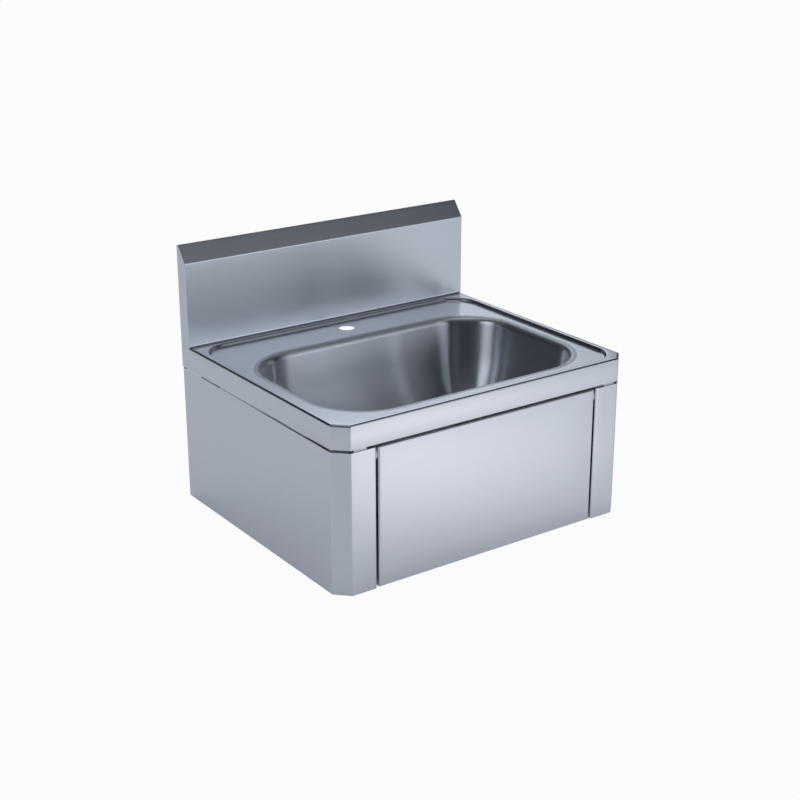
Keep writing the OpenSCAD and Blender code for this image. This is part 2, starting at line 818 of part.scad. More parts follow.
module return_spring() {
    n = spring_sides;
    points = [for (k = [0 : spring_last]) each spring_ring(k)];
    wall = [for (k = [0 : spring_last - 1], j = [0 : n - 1]) let (a = k * n + j, b = k * n + (j + 1) % n)
        each [[a, b, b + n], [a, b + n, a + n]]];
    start = [for (j = [1 : n - 2]) [0, j + 1, j]];
    end = [for (j = [1 : n - 2]) [0, j, j + 1] + spring_last * n * [1, 1, 1]];
    gap = min([for (k = [spring_steps : spring_last]) norm(spring_at(k) - spring_at(k - spring_steps))]);
    echo(least_spring_gap = gap - wire_d);
    color("silver") at_valve() polyhedron(points, concat(wall, start, end));
}

// Hexagon nipple with a pipe thread's outside size, along Z from its seat
module nipple() {
    difference() {
        union() {
            hex(nipple_w, nipple_hex_t);
            rod_z(pipe_d, nipple_hex_t / 2, nipple_hex_t + nipple_len - nipple_cut);
            translate([0, 0, nipple_hex_t + nipple_len - nipple_cut])
                cylinder(d1 = pipe_d, d2 = pipe_d - 2 * nipple_cut, h = nipple_cut);
        }
        rod_z(nipple_bore, -over, nipple_hex_t + nipple_len + over);
    }
}

module cold_inlet() {
    color("silver") at_valve() translate([port_reach, port_y, 0]) rotate([0, 90, 0]) nipple();
}

module hot_inlet() {
    color("silver") at_valve() translate([-port_reach, port_y, 0]) rotate([0, -90, 0]) nipple();
}

module valve_outlet() {
    color("silver") at_valve() translate([0, neck_end, 0]) rotate([-90, 0, 0]) nipple();
}

// Pressed strainer: a flange round a shallow cup with two rings of holes
module strainer() {
    mid = strainer_t / 2;
    cup = strainer_cup_d / 2 - mid;
    section = [[strainer_d / 2, flange_z - mid], [cup, flange_z - mid],
        [cup, cup_floor_z - mid], [waste_screw_d / 2 + pass_gap, cup_floor_z - mid]];
    color("silver") translate([0, bowl_y, 0]) difference() {
        rotate_extrude() folded(section, strainer_t, same(strainer_fold, section));
        for (ring = strainer_hole_shares, k = [1 : ring[0]])
            rotate(360 * k / ring[0]) translate([ring[1] * cup, 0, 0])
                rod_z(strainer_hole_d, cup_floor_z - strainer_t - over, cup_floor_z + over);
    }
}

module strainer_screw() {
    color("silver") translate([0, bowl_y, 0]) difference() {
        union() {
            rod_z(waste_head_d, cup_floor_z, cup_floor_z + waste_head_t);
            rod_z(waste_screw_d, boss_z - boss_h, cup_floor_z + waste_head_t / 2);
        }
        translate([0, 0, cup_floor_z + waste_head_t - slot_d / 2 + over])
            cube([waste_head_d + over, slot_w, slot_d + 2 * over], center = true);
    }
}

// A flat ring between two heights
module ring(d_out, d_in, z0, z1) {
    difference() {
        rod_z(d_out, z0, z1);
        rod_z(d_in, z0 - over, z1 + over);
    }
}

module strainer_seal() {
    color(rubber) translate([0, bowl_y, 0]) ring(strainer_d, waste_hole_d, seat_z, seat_z + seal_t);
}

module waste_seal() {
    color(rubber) translate([0, bowl_y, 0]) ring(waste_rim_d, waste_hole_d, waste_z, waste_z + waste_seal_t);
}

// Cup under the bowl, with a boss on three ribs for the strainer's screw and a threaded tail
module waste_body() {
    cup_in = cup_d / 2 - waste_wall;
    tail_in = tail_d / 2 - waste_wall;
    cone_z = cup_z - cone_h;
    rim_low = waste_z - waste_rim_t;
    hole = waste_screw_d / 2 + run_gap;
    rib_x = (hole + boss_d / 2) / 2;
    boss_low = boss_z - boss_h;
    color(nylon) translate([0, bowl_y, 0]) {
        rotate_extrude()
            polygon([[tail_in, tail_z], [tail_d / 2, tail_z], [tail_d / 2, cone_z], [cup_d / 2, cup_z],
                [cup_d / 2, rim_low], [waste_rim_d / 2, rim_low], [waste_rim_d / 2, waste_z],
                [cup_in, waste_z], [cup_in, cup_z], [tail_in, cone_z]]);
        ring(boss_d, 2 * hole, boss_low, boss_z);
        for (k = [1 : rib_count]) rotate(360 * k / rib_count)
            block([rib_x, -rib_t / 2, boss_low], [cup_in + waste_wall / 2, rib_t / 2, boss_z]);
    }
}

deck();
upstand();
bowl();
left_casing();
right_casing();
left_hangers();
right_hangers();
wall_bracket();
valve_rail();
rail_screws();
rail_nuts();
left_hinge_pin();
right_hinge_pin();
hinge_nuts();
left_hinge_bush();
right_hinge_bush();
left_buffer();
right_buffer();
knee_panel();
panel_stiffener();
striker_pad();
valve_body();
valve_bonnet();
valve_locknut();
valve_plunger();
push_cap();
return_spring();
cold_inlet();
hot_inlet();
valve_outlet();
strainer();
strainer_screw();
strainer_seal();
waste_seal();
waste_body();
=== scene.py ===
"""Looks of a wall-hung, knee-operated wash basin: brushed sheet, drawn bowl, valve and waste in a pale studio."""

import json
import math

import bmesh
import bpy
import numpy as np
from mathutils import Euler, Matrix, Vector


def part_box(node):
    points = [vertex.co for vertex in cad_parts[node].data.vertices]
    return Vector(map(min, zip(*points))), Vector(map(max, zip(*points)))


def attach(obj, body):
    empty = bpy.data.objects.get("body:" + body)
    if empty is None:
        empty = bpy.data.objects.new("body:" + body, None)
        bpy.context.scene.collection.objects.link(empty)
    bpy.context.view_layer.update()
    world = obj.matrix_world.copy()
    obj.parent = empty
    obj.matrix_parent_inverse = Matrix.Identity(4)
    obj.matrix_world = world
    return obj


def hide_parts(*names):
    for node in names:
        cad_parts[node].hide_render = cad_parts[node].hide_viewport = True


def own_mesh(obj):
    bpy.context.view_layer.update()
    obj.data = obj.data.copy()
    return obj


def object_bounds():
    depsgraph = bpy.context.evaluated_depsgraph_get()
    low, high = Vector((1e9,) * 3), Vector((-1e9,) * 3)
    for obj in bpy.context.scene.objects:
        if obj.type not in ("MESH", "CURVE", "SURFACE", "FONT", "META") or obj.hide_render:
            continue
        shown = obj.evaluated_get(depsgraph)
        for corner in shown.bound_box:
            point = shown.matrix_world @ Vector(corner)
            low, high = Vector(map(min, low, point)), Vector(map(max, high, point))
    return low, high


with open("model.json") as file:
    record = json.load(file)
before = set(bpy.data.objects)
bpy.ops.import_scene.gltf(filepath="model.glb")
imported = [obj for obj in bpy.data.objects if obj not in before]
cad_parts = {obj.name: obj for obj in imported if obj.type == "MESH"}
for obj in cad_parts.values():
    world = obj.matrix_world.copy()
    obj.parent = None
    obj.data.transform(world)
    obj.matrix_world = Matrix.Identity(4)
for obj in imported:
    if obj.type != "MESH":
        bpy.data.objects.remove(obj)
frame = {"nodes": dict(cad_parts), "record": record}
cad_low, cad_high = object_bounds()

# Sizes are in metres. A place or size that a node gives is read from its box.
mm = 0.001
deck_low, deck_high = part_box("deck")
upstand_low, upstand_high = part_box("upstand")
bowl_low, bowl_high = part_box("bowl")
casing_low, casing_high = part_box("right_casing")
panel_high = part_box("knee_panel")[1]
pin_low, pin_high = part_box("left_hinge_pin")
buffer_low, buffer_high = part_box("left_buffer")
screws_low, screws_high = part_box("rail_screws")
spring_low, spring_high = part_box("return_spring")

# Sheet, its folds and its cut edges
sheet = 1.2 * mm
fold_in = 1.6 * mm  # inner radius of every fold
fold_out = fold_in + sheet
fold_mid = fold_in + sheet / 2
edge_round = 0.25 * mm  # taken off the skirt's cut edge
least_r = 0.05 * mm  # of an outline's corner, however far it is drawn in

# Outer faces, and the front corners' 45 degree cut with a bend at each of its ends
half_w = deck_high.x
front_y = deck_low.y
deck_z = deck_high.z
rim_z = deck_low.z
base_z = casing_low.z
corner_cut = 17.5 * mm  # along each side
bend_r = 2.2 * mm
least_bend_r = 0.4 * mm  # of a bend, however far the rim is drawn in

# Upstand: its front, top, sloping cap, the cap's flat strip, the hook behind it, and the weld along its foot
upstand_y = upstand_low.y
top_z = upstand_high.z
cap_h = 22 * mm
cap_flat = 4.5 * mm
hook_h = 20 * mm  # how far the cap is folded down at the wall
foot_r = 3 * mm
end_in = 0.15 * mm  # gap between an end plate's front edge and the front's face
end_skin = 0.01 * mm  # keeps the end plates inside the outer faces

# Recess of the deck, and its tap hole
border_w = 9 * mm
recess_drop = 4 * mm  # how far the deck's floor lies below its border
slope_w = 2.5 * mm  # run of the slope between the two
recess_r = 38 * mm
recess_z = deck_z - recess_drop
recess_half_x = half_w - border_w
recess_front = front_y + border_w
recess_back = upstand_y - border_w
tap_hole_r = 11 * mm
tap_y = -57 * mm  # from the wall

# Bowl: its outline, the section of its wall, and the waste's seat in its floor
weld_w = 3 * mm  # flat lap of bowl and deck round the opening
bowl_half_x = bowl_high.x - weld_w
bowl_half_y = (bowl_high.y - bowl_low.y) / 2 - weld_w
bowl_y = (bowl_high.y + bowl_low.y) / 2
lip_r = 9 * mm
draft = math.radians(5)  # lean of the wall
sweep_lean = math.radians(45)  # lean where the upper sweep meets the lower one
wall_r = 130 * mm  # upper sweep
floor_r = 24 * mm  # lower sweep
sweep_gap = 1 * mm  # straight left between them
floor_corner_r = 10 * mm
seat_drop = 3 * mm
seat_slope = 2 * mm  # run of the slope down to the seat
seat_r = 36.5 * mm
waste_hole_r = 26 * mm
floor_z = bowl_low.z + seat_drop + sheet

# Casing: strips beside the panel, returns behind them, wall flanges, top folds with slots for the hangers, holes
strip_x = casing_low.x
casing_top = panel_high.z
casing_wall_top = casing_high.z
return_d = 22 * mm  # depth of the return beside the panel
lip_w = 12 * mm  # lip folded over at the return's back
wall_flange_w = 24 * mm
top_fold_w = 10 * mm
hanger_w = 46 * mm
hanger_in = 70 * mm  # front hanger, from the front
hanger_y = (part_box("left_hangers")[1].y - hanger_w, front_y + hanger_in)
slot_gap = 1 * mm  # on both sides of a hanger
fix_r = 4 * mm  # holes for the wall screws
fix_low, fix_high = 30 * mm, 154 * mm
fix_z = (base_z + fix_low, base_z + fix_high)
screw_head_r = 3.75 * mm
screw_hole_r = 2.1 * mm
screw_x = screws_high.x - screw_head_r
screw_z = (screws_low.z + screw_head_r, screws_high.z - screw_head_r)

# Knee panel: its folded edges, notched corners, hinge, and the ears that rest on the buffers
panel_gap = 3 * mm
panel_x = strip_x - panel_gap
panel_side_d = 20 * mm
panel_edge_d = 12 * mm
panel_r = 1.2 * mm
panel_inner_r = 0.4 * mm
panel_face_r = 0.3 * mm
notch_w = 4 * mm  # where the depth falls to notch_d at a corner
notch_d = 5 * mm
hinge_y = (pin_low.y + pin_high.y) / 2
hinge_z = (pin_low.z + pin_high.z) / 2
hinge_hole_r = 3.1 * mm
bush_r = 5.5 * mm
rest_gap = 0.3 * mm
ear_root = 1 * mm  # lap of an ear over the panel's side
ear_rim = 2 * mm  # how far an ear reaches past the buffer above and below

# Return spring: middle radius and number of its coils
coil_r = 7 * mm
coils = 4

# How finely the meshes are cut: steps round an arc or along a side, rows, longest steps, rings between the bowl's
# wall and its seat and on the panel's face, the angle in degrees past which an edge stays crisp, the gaps within
# which points are merged, and the cutters' lengths
CORNER_STEPS = 24
SIDE_STEPS = 40
FOLD_STEPS = 8
SWEEP_STEPS = 28
WELD_STEPS = 10
ROD_STEPS = 64
TAP_HOLE_STEPS = 96
COIL_STEPS = 40
WIRE_STEPS = 12
UPSTAND_ROWS = 61
CASING_ROWS = 17
EAR_ROWS = 3
bowl_step = 6 * mm
upstand_step = 8 * mm
casing_step = 12 * mm
FLOOR_SHARES = (0.35, 0.7)
PANEL_SHARES = (0.02, 0.35, 0.7)
CRISP_ANGLE = 35
WIRE_CRISP_ANGLE = 60
merge_gap = 0.002 * mm
sliver = 0.001 * mm
cutter_l = 6 * sheet
tap_cutter_l = 12 * mm

# The four corners of a rectangle, in the order that a ring meets them
SIGNS = ((1, -1), (1, 1), (-1, 1), (-1, -1))


# Curves and outlines as whole arrays

def arc(centre, radius, start, turn, steps):
    """Points on a circle: centre plus radius times the cosine and sine of evenly spaced angles from start to
    start + turn."""
    a = start + turn * np.linspace(0, 1, steps + 1)
    return np.stack([centre[0] + radius * np.cos(a), centre[1] + radius * np.sin(a)], 1)


def fold_edge(path, offset, radii, steps=FOLD_STEPS):
    """One face of a folded sheet: the path moved sideways by offset, each corner replaced by an arc about the fold's
    own centre, whose radius is the fold's middle radius less the offset on the inside and plus it outside."""
    path = np.asarray(path, float)
    step = np.diff(path, axis=0)
    head = np.arctan2(step[:, 1], step[:, 0])
    turn = (np.diff(head) + math.pi) % (2 * math.pi) - math.pi
    side = lambda h: np.array([-math.sin(h), math.cos(h)])
    ahead = lambda h: np.array([math.cos(h), math.sin(h)])
    out = [(path[0] + offset * side(head[0]))[None]]
    for i, t in enumerate(turn):
        s, h, r = np.sign(t), head[i], radii[i]
        centre = path[i + 1] - r * math.tan(abs(t) / 2) * ahead(h) + s * r * side(h)
        out.append(arc(centre, r - s * offset, h - s * math.pi / 2, t, steps))
    out.append((path[-1] + offset * side(head[-1]))[None])
    return np.concatenate(out)


def mid_shift(turn):
    """How far along the sheet a fold's corner on its middle line lies from that on its face: half the sheet times
    the tangent of half the turn."""
    return sheet / 2 * math.tan(turn / 2)


def spread(points, longest):
    """The same line with extra points, so that no step is longer than the given length."""
    points = np.asarray(points, float)
    out = [points[:1]]
    for a, b in zip(points[:-1], points[1:]):
        n = max(1, int(np.ceil(np.linalg.norm(b - a) / longest)))
        out.append(a + (b - a) * np.linspace(0, 1, n + 1)[1:, None])
    return np.concatenate(out)


def ring_through(corners):
    """A closed ring through four corner curves of equal length, joined by straight runs of equal count."""
    out = []
    t = np.linspace(0, 1, SIDE_STEPS + 1)[1:-1, None]
    for k, corner in enumerate(corners):
        nxt = corners[(k + 1) % 4]
        out += [corner, corner[-1] + (nxt[0] - corner[-1]) * t]
    return np.concatenate(out)


def round_ring(half_x, half_y, radius, centre_y):
    """A rectangle with round corners, as a ring: quarter circles at the four corners, joined by straight sides."""
    radius = max(radius, least_r)
    corners = []
    for k, (sx, sy) in enumerate(SIGNS):
        centre = (sx * (half_x - radius), centre_y + sy * (half_y - radius))
        corners.append(arc(centre, radius, (k - 1) * math.pi / 2, math.pi / 2, CORNER_STEPS))
    return ring_through(corners)


def circle_ring(radius, like, centre_y):
    """A circle whose points lie in the same directions from its centre as another ring's."""
    a = np.arctan2(like[:, 1] - centre_y, like[:, 0])
    return np.stack([radius * np.cos(a), centre_y + radius * np.sin(a)], 1)


def rim_ring(inset):
    """The rim's outline drawn in by inset: square corners at the wall, and in front a 45 degree cut between two
    bends. Drawn in, the cut takes 2 less the root of 2 times the inset less from each side."""
    x, y = half_w - inset, front_y + inset
    cut = corner_cut - inset * (2 - math.sqrt(2))
    r = max(bend_r - inset, least_bend_r)
    path = np.array([[x - cut - 3 * r, y], [x - cut, y], [x, y + cut], [x, y + cut + 3 * r]])
    bent = fold_edge(path, 0, [r, r], CORNER_STEPS // 2 - 1)[1:-1]
    front = bent[: CORNER_STEPS + 1]
    front = np.concatenate([front, np.repeat(front[-1:], CORNER_STEPS + 1 - len(front), 0)])
    back = np.repeat([[x, -inset]], CORNER_STEPS + 1, 0)
    flip = np.array([-1, 1])
    return ring_through([front, back, (back * flip)[::-1], (front * flip)[::-1]])


# Meshes from grids

def grid_faces(rows, cols, wrap_rows, wrap_cols):
    """Quads of a grid, as indices of its points row by row."""
    r = np.arange(rows if wrap_rows else rows - 1)
    c = np.arange(cols if wrap_cols else cols - 1)
    r0, c0 = np.meshgrid(r, c, indexing="ij")
    r1, c1 = (r0 + 1) % rows, (c0 + 1) % cols
    return np.stack([r0 * cols + c0, r0 * cols + c1, r1 * cols + c1, r1 * cols + c0], -1).reshape(-1, 4)


def tube_faces(rows, cols):
    """Quads of a tube whose rows are closed rings, and one flat face over each of its two ends."""
    last = (rows - 1) * cols
    return grid_faces(rows, cols, False, True).tolist() + [list(range(cols)), list(range(last, last + cols))]


def along_x(section, places):
    """A (y, z) section repeated at each of the given x places."""
    return np.stack([np.column_stack([np.full(len(section), x), section]) for x in places])


def tube(rows):
    """A part made of equal rows of points, closed at both ends: its points and faces."""
    return rows, tube_faces(*rows.shape[:2])


def join_parts(parts):
    """Points and faces of several parts as one list, the indices moved on."""
    points, faces, start = [], [], 0
    for p, f in parts:
        points.append(np.asarray(p, float).reshape(-1, 3))
        faces += [[i + start for i in face] for face in f]
        start += len(points[-1])
    return np.concatenate(points), faces


def rings_to_grid(rings):
    """Stacks (ring, height) pairs into one grid that closes both ways."""
    pts = np.stack([np.column_stack([r, np.full(len(r), z)]) for r, z in rings])
    return pts.reshape(-1, 3), grid_faces(len(rings), pts.shape[1], True, True)


def mesh_object(name, points, faces):
    """A mesh object at the origin, its points and faces as given."""
    mesh = bpy.data.meshes.new(name)
    mesh.from_pydata(np.asarray(points).tolist(), [], [list(map(int, f)) for f in faces])
    mesh.update()
    obj = bpy.data.objects.new(name, mesh)
    bpy.context.scene.collection.objects.link(obj)
    return obj


def clean(obj, smooth=CRISP_ANGLE):
    """Merges doubles, turns the normals outwards, and keeps edges sharper than smooth degrees crisp."""
    bm = bmesh.new()
    bm.from_mesh(obj.data)
    bmesh.ops.remove_doubles(bm, verts=bm.verts, dist=merge_gap)
    bmesh.ops.dissolve_degenerate(bm, dist=sliver, edges=bm.edges)
    bmesh.ops.recalc_face_normals(bm, faces=bm.faces)
    bm.to_mesh(obj.data)
    bm.free()
    obj.data.polygons.foreach_set("use_smooth", np.ones(len(obj.data.polygons), bool))
    obj.data.set_sharp_from_angle(angle=math.radians(smooth))
    obj.data.update()
    return obj


def new_piece(name, points, faces, body, slot, replaced, smooth=CRISP_ANGLE):
    """A cleaned mesh object that rides on its body and takes the place of its CAD node."""
    obj = clean(mesh_object(name, points, faces), smooth)
    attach(obj, body)
    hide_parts(replaced)
    return obj


def block(name, low, high):
    """A plain box used as a cutter: a rectangle carried up from low to high."""
    x, y = (low[0], high[0], high[0], low[0]), (low[1], low[1], high[1], high[1])
    rows = np.stack([np.column_stack([x, y, np.full(4, z)]) for z in (low[2], high[2])])
    return clean(mesh_object(name, rows.reshape(-1, 3), tube_faces(2, 4)))


def rod(name, centre, axis, radius, length, steps=ROD_STEPS):
    """A plain cylinder used as a cutter: a circle carried along one axis, half its length to either side."""
    a = np.linspace(0, 2 * math.pi, steps, endpoint=False)
    u, v = [k for k in range(3) if k != axis]
    rows = np.zeros((2, steps, 3))
    rows[:, :, u] = radius * np.cos(a)
    rows[:, :, v] = radius * np.sin(a)
    rows[:, :, axis] = np.array([[-length / 2], [length / 2]])
    return clean(mesh_object(name, (rows + np.asarray(centre)).reshape(-1, 3), tube_faces(2, steps)))


def cut_with(obj, cutters):
    """Takes the cutters out of obj with exact booleans, applied, and deletes them."""
    for cutter in cutters:
        mod = obj.modifiers.new("cut", "BOOLEAN")
        mod.operation, mod.object, mod.solver = "DIFFERENCE", cutter, "EXACT"
        with bpy.context.temp_override(object=obj, active_object=obj, selected_objects=[obj]):
            bpy.ops.object.modifier_apply(modifier=mod.name)
        bpy.data.objects.remove(cutter)
    obj.data.set_sharp_from_angle(angle=math.radians(CRISP_ANGLE))


# Bowl and deck

def bowl_path():
    """Middle line of the bowl's sheet, x inwards from the opening: lip, wall leaning by draft, a corner turned by the
    upper sweep to sweep_lean, a corner turned by the lower sweep into the floor. Corners lie where tangents meet."""
    upper_turn, lower_turn = math.tan((sweep_lean - draft) / 2), math.tan(math.pi / 4 - sweep_lean / 2)
    wall_mid, floor_mid = wall_r + sheet / 2, floor_r + sheet / 2
    wall_x = lip_r * math.cos(draft) - sheet / 2 / math.cos(draft)
    wall_z = recess_z - lip_r * (1 - math.sin(draft))
    lip_z, floor_mid_z = recess_z - sheet / 2, floor_z - sheet / 2
    sweep_z = floor_mid_z + (wall_mid * upper_turn + floor_mid * lower_turn + sweep_gap) * math.cos(sweep_lean)
    sweep_x = wall_x + (wall_z - sweep_z) * math.tan(draft)
    floor_x = sweep_x + (sweep_z - floor_mid_z) * math.tan(sweep_lean)
    path = [[-weld_w, lip_z], [wall_x + (wall_z - lip_z) * math.tan(draft), lip_z], [sweep_x, sweep_z],
            [floor_x, floor_mid_z], [floor_x + floor_mid * lower_turn + weld_w, floor_mid_z]]
    return path, [lip_r - sheet / 2, wall_mid, floor_mid]


bowl_corner_r = bowl_path()[0][-1][0] + floor_corner_r


def bowl_ring(inset):
    """The bowl's outline drawn in by inset."""
    return round_ring(bowl_half_x - inset, bowl_half_y - inset, bowl_corner_r - inset, bowl_y)


def make_bowl():
    """Drawn bowl: a section of lip, leaning wall and two sweeps carried round the opening, then flat to the waste's
    seat, a slope down to it, its hole, and the same way back underneath."""
    path, radii = bowl_path()
    floor_in, floor_mid_z = path[-1]
    shift = mid_shift(math.atan2(seat_drop, seat_slope))
    ring_out = seat_r + seat_slope + weld_w
    seat = [[ring_out, floor_mid_z], [seat_r + seat_slope + shift, floor_mid_z],
            [seat_r + shift, floor_mid_z - seat_drop], [waste_hole_r, floor_mid_z - seat_drop]]
    last = bowl_ring(floor_in)
    round_seat = circle_ring(ring_out, last, bowl_y)

    def face(side):
        """Rings of the upper (side 1) or lower (side -1) face. The seat's path runs inwards, so left is down."""
        wall = spread(fold_edge(path, side * sheet / 2, radii, SWEEP_STEPS), bowl_step)
        rings = [(bowl_ring(x), z) for x, z in wall]
        rings += [(last + (round_seat - last) * t, floor_mid_z + side * sheet / 2) for t in FLOOR_SHARES]
        down = fold_edge(seat, -side * sheet / 2, [fold_mid] * 2)
        return rings + [(circle_ring(r, last, bowl_y), z) for r, z in down]

    return new_piece("bowl_sheet", *rings_to_grid(face(1) + face(-1)[::-1]), "basin", "satin_steel", "bowl")


def make_deck():
    """Pressed deck: rings from the weld round the bowl out over the floor, the slope and the border, down the
    skirt and back underneath. Slope and rim follow the faces of folded sheet; rings between them are flat."""
    border_mid_z, floor_mid_z = deck_z - sheet / 2, recess_z - sheet / 2
    shift = mid_shift(math.atan2(recess_drop, slope_w))
    path = [[-weld_w, border_mid_z], [-shift, border_mid_z], [slope_w - shift, floor_mid_z],
            [slope_w + weld_w, floor_mid_z]]
    centre_y = (recess_front + recess_back) / 2
    half_y = (recess_back - recess_front) / 2

    def recess_rings(side):
        """Rings down the slope on the upper (side 1) or lower (side -1) face."""
        return [(round_ring(recess_half_x - x, half_y - x, recess_r - x, centre_y), z)
                for x, z in fold_edge(path, side * sheet / 2, [fold_mid] * 2)]

    def rim_bend(inset, radius, turn):
        """One ring of the rim's bend: a quarter circle from the border over to the skirt."""
        return rim_ring(inset + radius * (1 - math.sin(turn))), deck_z - inset - radius * (1 - math.cos(turn))

    turns = np.linspace(0, math.pi / 2, FOLD_STEPS + 1)
    weld = bowl_ring(-weld_w)
    rings = [(weld, recess_z)] + recess_rings(1)[::-1] + [rim_bend(0, fold_out, t) for t in turns]
    rings += [(rim_ring(0), rim_z + edge_round), (rim_ring(edge_round / 3), rim_z + edge_round / 3),
              (rim_ring(edge_round), rim_z), (rim_ring(sheet - edge_round), rim_z),
              (rim_ring(sheet), rim_z + edge_round)]
    rings += [rim_bend(sheet, fold_in, t) for t in turns[::-1]] + recess_rings(-1) + [(weld, recess_z - sheet)]
    deck = new_piece("deck_sheet", *rings_to_grid(rings), "basin", "satin_steel", "deck")
    behind = half_w - 2 * fold_out
    cut_with(deck, [rod("tap_cut", (0, tap_y, recess_z), 2, tap_hole_r, tap_cutter_l, TAP_HOLE_STEPS),
                    block("back_cut", (-behind, upstand_y + sheet, rim_z - sheet), (behind, sheet, deck_z + sheet))])
    return deck


# Upstand

def make_upstand():
    """Folded upstand: its section carried along the width, with a plate closing each end and a weld, an inside
    quarter circle between front and deck, along its foot."""
    front = upstand_y + sheet / 2
    cap_angle = math.atan2(cap_h, -upstand_y - cap_flat)
    front_z = top_z - cap_h - mid_shift(math.pi / 2 - cap_angle)
    path = [[front, deck_z], [front, front_z], [mid_shift(cap_angle) - cap_flat, top_z - sheet / 2],
            [-sheet / 2, top_z - sheet / 2], [-sheet / 2, top_z - hook_h]]
    outer = fold_edge(path, sheet / 2, [fold_mid] * 3)
    inner = fold_edge(path, -sheet / 2, [fold_mid] * 3)
    section = np.concatenate([spread(outer, upstand_step), inner[::-1]])
    xs = np.linspace(-half_w, half_w, UPSTAND_ROWS)
    parts = [tube(along_x(section, xs))]
    end_z = deck_z - fold_out
    plate = np.concatenate([[[upstand_y, end_z]], outer[:-1], [[0, end_z]]])
    plate[:, 0] = np.maximum(plate[:, 0], upstand_y + end_in)
    parts += [tube(along_x(plate, (s * (half_w - sheet), s * (half_w - end_skin)))) for s in (-1, 1)]
    centre = (upstand_y - foot_r, deck_z + foot_r)
    weld = np.concatenate([[[front, deck_z]], arc(centre, foot_r, -math.pi / 2, math.pi / 2, WELD_STEPS),
                           [[front, deck_z + foot_r]]])
    parts.append(tube(along_x(weld, xs * (1 - fold_out / half_w))))
    return new_piece("upstand_sheet", *join_parts(parts), "basin", "satin_steel", "upstand")


# Casing

def casing_edge_z(y):
    """Height of the casing's upper edge, which falls in a straight line from the wall to the front."""
    return casing_wall_top + (casing_wall_top - casing_top) * y / -front_y


def make_casing(side, node):
    """One half of the casing: the plan of its folded sheet carried up from the lower edge to its slanting top,
    and the top's inward fold in three lengths, with the hangers' slots between them."""
    mid, lip_y = sheet / 2, front_y + return_d
    cut = corner_cut + mid_shift(math.pi / 4)
    path = np.array([[half_w - wall_flange_w, -mid], [half_w - mid, -mid], [half_w - mid, front_y + cut],
                     [half_w - cut, front_y + mid], [strip_x + mid, front_y + mid],
                     [strip_x + mid, lip_y - mid], [strip_x + lip_w, lip_y - mid]])
    outer, inner = (fold_edge(path, s * mid, [fold_mid] * 5) for s in (1, -1))
    plan = np.concatenate([spread(outer, casing_step), spread(inner[::-1], casing_step)])
    height = casing_edge_z(plan[:, 1]) - base_z
    parts = [tube(np.stack([np.column_stack([side * plan[:, 0], plan[:, 1], base_z + height * t])
                            for t in np.linspace(0, 1, CASING_ROWS)]))]
    slots = [(y + hanger_w + slot_gap, y - slot_gap) for y in hanger_y]
    folds = ((-wall_flange_w, slots[0][0]), (slots[0][1], slots[1][0]),
             (slots[1][1], front_y + corner_cut + top_fold_w))
    for y0, y1 in folds:
        z0, z1 = casing_edge_z(y0), casing_edge_z(y1)
        section = np.array([[y0, z0], [y0, z0 - sheet], [y1, z1 - sheet], [y1, z1]])
        parts.append(tube(along_x(section, (side * (half_w - top_fold_w), side * (half_w - mid)))))
    casing = new_piece(node + "_sheet", *join_parts(parts), "basin", "satin_steel", node)
    cutters = [rod("fix_cut", (side * (half_w - wall_flange_w / 2), -mid, z), 1, fix_r, cutter_l) for z in fix_z]
    cutters.append(rod("hinge_cut", (side * (strip_x + mid), hinge_y, hinge_z), 0, hinge_hole_r, cutter_l))
    cutters += [rod("screw_cut", (side * screw_x, lip_y - mid, z), 1, screw_hole_r, cutter_l) for z in screw_z]
    cut_with(casing, cutters)
    return casing


# Knee panel

